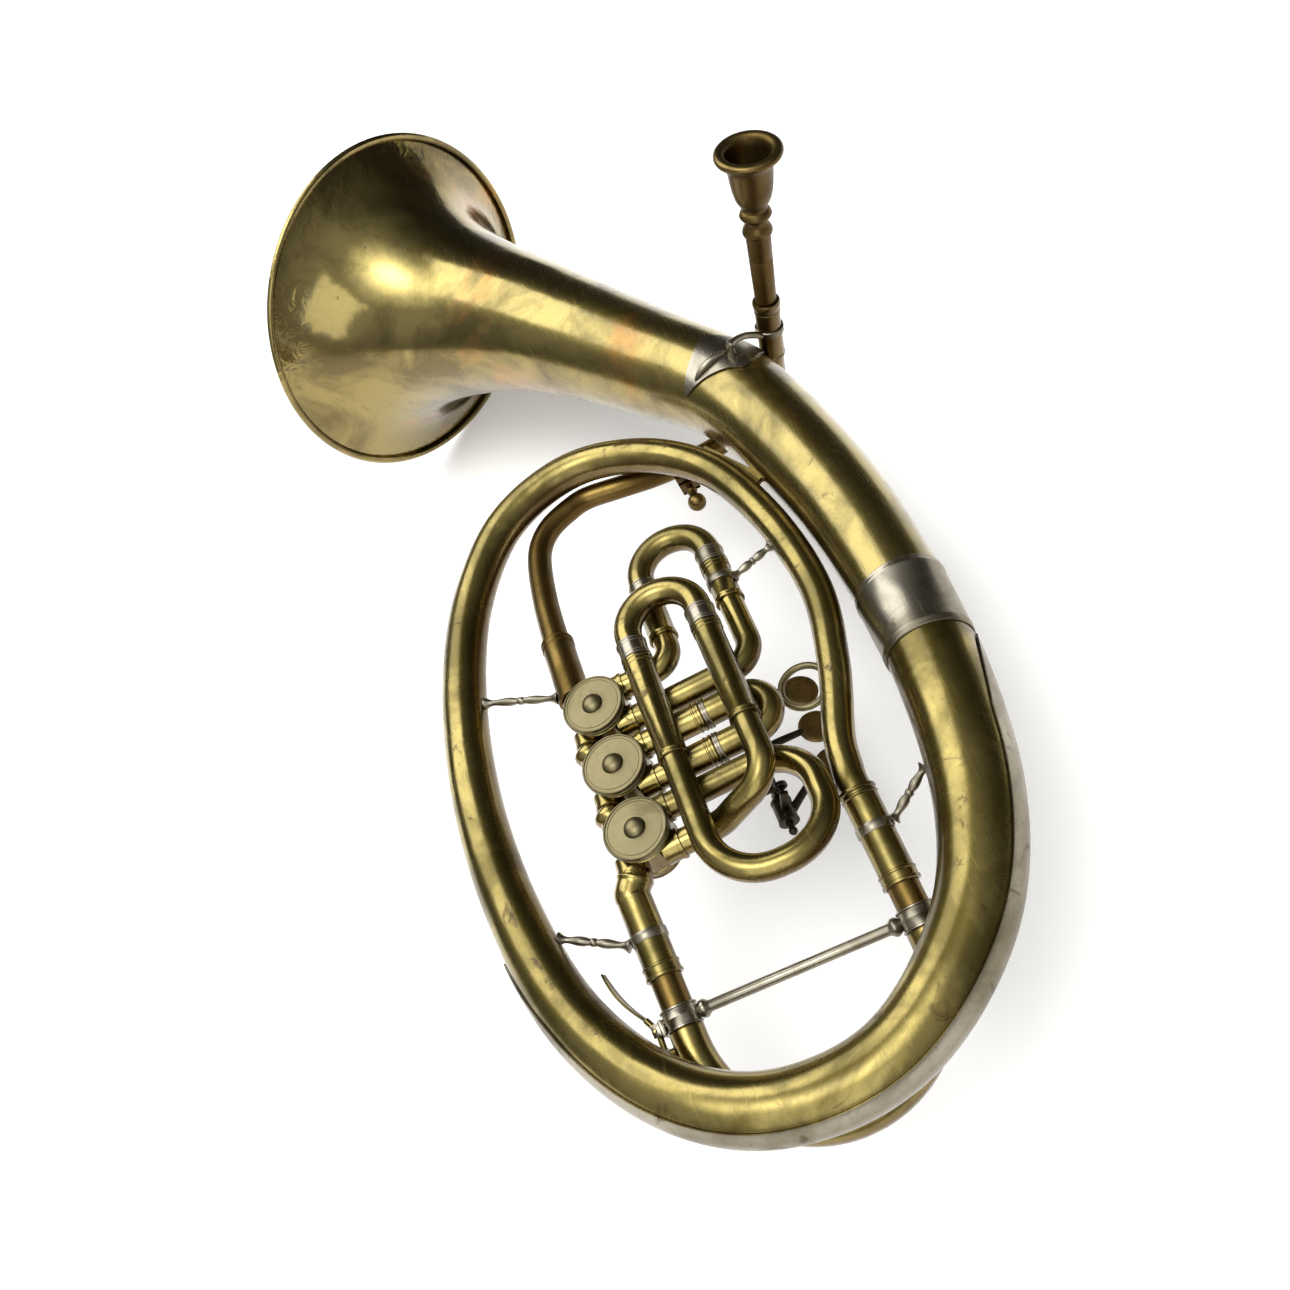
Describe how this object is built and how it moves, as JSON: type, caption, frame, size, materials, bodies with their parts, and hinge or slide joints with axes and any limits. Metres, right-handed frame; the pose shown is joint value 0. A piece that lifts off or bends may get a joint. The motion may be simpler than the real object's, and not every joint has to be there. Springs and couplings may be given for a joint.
{
  "type": "alto horn",
  "caption": "Oval alto horn with rotary valves, spring levers, pull-out tuning slides, water key, flared bell and a mouthpiece in an angled leadpipe.",
  "frame": {"origin": "middle of the footprint, at the lowest point of the bell, with the horn on its lever side", "axes": "+Y along the horn from the bottom bow to the bell, +X from the valve side to the leadpipe receiver side, +Z through the valve caps toward the mouthpiece"},
  "size_m": [0.284, 0.589, 0.2018],
  "materials": {
    "aged_brass": "worn lacquer over brass, brown in the hollows",
    "nickel_silver": "dull nickel silver",
    "pale_brass": "pale worn plate over brass",
    "dark_steel": "darkened steel"
  },
  "bodies": {
    "horn": {"bell": "aged_brass", "right_branch": "aged_brass", "bottom_bow": "aged_brass", "left_branch": "aged_brass", "upper_bow": "aged_brass", "s_tube": "aged_brass", "receiver": "aged_brass", "leadpipe": "aged_brass", "leadpipe_ferrule": "aged_brass", "valve_casing_1": "aged_brass", "valve_casing_2": "aged_brass", "valve_casing_3": "aged_brass", "back_bearing_1": "aged_brass", "back_bearing_2": "aged_brass", "back_bearing_3": "aged_brass", "knuckle_1": "aged_brass", "knuckle_2": "aged_brass", "outlet_elbow": "aged_brass", "slide_1_left_sleeve": "aged_brass", "slide_1_right_sleeve": "aged_brass", "slide_2_upper_sleeve": "aged_brass", "slide_2_lower_sleeve": "aged_brass", "slide_3_left_sleeve": "aged_brass", "slide_3_right_sleeve": "aged_brass", "tuning_sleeve_left": "aged_brass", "tuning_sleeve_right": "aged_brass", "lyre_holder": "aged_brass", "loop_saddle": "aged_brass", "bell_band": "nickel_silver", "guard_strip": "nickel_silver", "bell_flange": "nickel_silver", "brace_valve": "nickel_silver", "brace_left": "nickel_silver", "brace_right": "nickel_silver", "brace_slide": "nickel_silver", "thumb_ring": "nickel_silver", "valve_cap_1": "pale_brass", "valve_cap_2": "pale_brass", "valve_cap_3": "pale_brass", "lever_rack": "dark_steel"},
    "tuning_slide": {"tuning_crook": "aged_brass", "tuning_cross_brace": "nickel_silver"},
    "water_key": {"water_key": "aged_brass"},
    "valve_slide_1": {"slide_1_crook": "aged_brass"},
    "valve_slide_2": {"slide_2_crook": "aged_brass"},
    "valve_slide_3": {"slide_3_crook": "aged_brass"},
    "mouthpiece": {"mouthpiece": "aged_brass"},
    "lyre_screw": {"lyre_screw": "aged_brass"},
    "lever_1": {"lever_1": "nickel_silver"},
    "rotor_1": {"rotor_1": "aged_brass", "stop_arm_1": "dark_steel"},
    "link_1": {"link_1": "dark_steel"},
    "lever_2": {"lever_2": "nickel_silver"},
    "rotor_2": {"rotor_2": "aged_brass", "stop_arm_2": "dark_steel"},
    "link_2": {"link_2": "dark_steel"},
    "lever_3": {"lever_3": "nickel_silver"},
    "rotor_3": {"rotor_3": "aged_brass", "stop_arm_3": "dark_steel"},
    "link_3": {"link_3": "dark_steel"}
  },
  "joints": [
    {"name": "tuning_slide_pull", "type": "slide", "parent": "horn", "child": "tuning_slide", "axis": [0, -0.9659, -0.2588], "range_m": [-0.006, 0.012]},
    {"name": "water_key_hinge", "type": "hinge", "parent": "tuning_slide", "child": "water_key", "pos_m": [-0.05673, -0.229, 0.0799], "axis": [0, 0.2588, -0.9659], "range_deg": [0, 12], "stiffness_Nm_per_rad": 0.02, "springref_deg": -34.38},
    {"name": "valve_slide_1_pull", "type": "slide", "parent": "horn", "child": "valve_slide_1", "axis": [0, 1, 0], "range_m": [0, 0.015]},
    {"name": "valve_slide_2_pull", "type": "slide", "parent": "horn", "child": "valve_slide_2", "axis": [1, 0, 0], "range_m": [0, 0.012]},
    {"name": "valve_slide_3_pull", "type": "slide", "parent": "horn", "child": "valve_slide_3", "axis": [0, 1, 0], "range_m": [0, 0.038]},
    {"name": "mouthpiece_pull", "type": "slide", "parent": "horn", "child": "mouthpiece", "axis": [0.225, 0, 0.9744], "range_m": [0, 0.02]},
    {"name": "lyre_screw_turn", "type": "hinge", "parent": "horn", "child": "lyre_screw", "pos_m": [0.03937, 0.0178, 0.07964], "axis": [0, -1, 0], "continuous": true},
    {"name": "lever_1_hinge", "type": "hinge", "parent": "horn", "child": "lever_1", "pos_m": [0.01787, -0.09222, 0.06295], "axis": [0, -1, 0], "range_deg": [0, 30], "stiffness_Nm_per_rad": 0.05, "springref_deg": -28.65},
    {"name": "rotor_1_turn", "type": "hinge", "parent": "horn", "child": "rotor_1", "pos_m": [-0.03423, -0.0961, 0.09384], "axis": [0, 0, 1], "range_deg": [0, 90]},
    {"name": "link_1_pivot", "type": "hinge", "parent": "rotor_1", "child": "link_1", "pos_m": [-0.03034, -0.09222, 0.07744], "axis": [0, 0, 1], "range_deg": [-90, 0]},
    {"name": "lever_2_hinge", "type": "hinge", "parent": "horn", "child": "lever_2", "pos_m": [0.01787, -0.12412, 0.06295], "axis": [0, -1, 0], "range_deg": [0, 30], "stiffness_Nm_per_rad": 0.05, "springref_deg": -28.65},
    {"name": "rotor_2_turn", "type": "hinge", "parent": "horn", "child": "rotor_2", "pos_m": [-0.03423, -0.128, 0.09384], "axis": [0, 0, 1], "range_deg": [0, 90]},
    {"name": "link_2_pivot", "type": "hinge", "parent": "rotor_2", "child": "link_2", "pos_m": [-0.03034, -0.12412, 0.07744], "axis": [0, 0, 1], "range_deg": [-90, 0]},
    {"name": "lever_3_hinge", "type": "hinge", "parent": "horn", "child": "lever_3", "pos_m": [0.01787, -0.15601, 0.06295], "axis": [0, -1, 0], "range_deg": [0, 30], "stiffness_Nm_per_rad": 0.05, "springref_deg": -28.65},
    {"name": "rotor_3_turn", "type": "hinge", "parent": "horn", "child": "rotor_3", "pos_m": [-0.03423, -0.1599, 0.09384], "axis": [0, 0, 1], "range_deg": [0, 90]},
    {"name": "link_3_pivot", "type": "hinge", "parent": "rotor_3", "child": "link_3", "pos_m": [-0.03034, -0.15601, 0.07744], "axis": [0, 0, 1], "range_deg": [-90, 0]}
  ],
  "couplings": [
    {"joint": "rotor_1_turn", "follows": "lever_1_hinge", "ratio": 3},
    {"joint": "link_1_pivot", "follows": "lever_1_hinge", "ratio": -3},
    {"joint": "rotor_2_turn", "follows": "lever_2_hinge", "ratio": 3},
    {"joint": "link_2_pivot", "follows": "lever_2_hinge", "ratio": -3},
    {"joint": "rotor_3_turn", "follows": "lever_3_hinge", "ratio": 3},
    {"joint": "link_3_pivot", "follows": "lever_3_hinge", "ratio": -3}
  ]
}
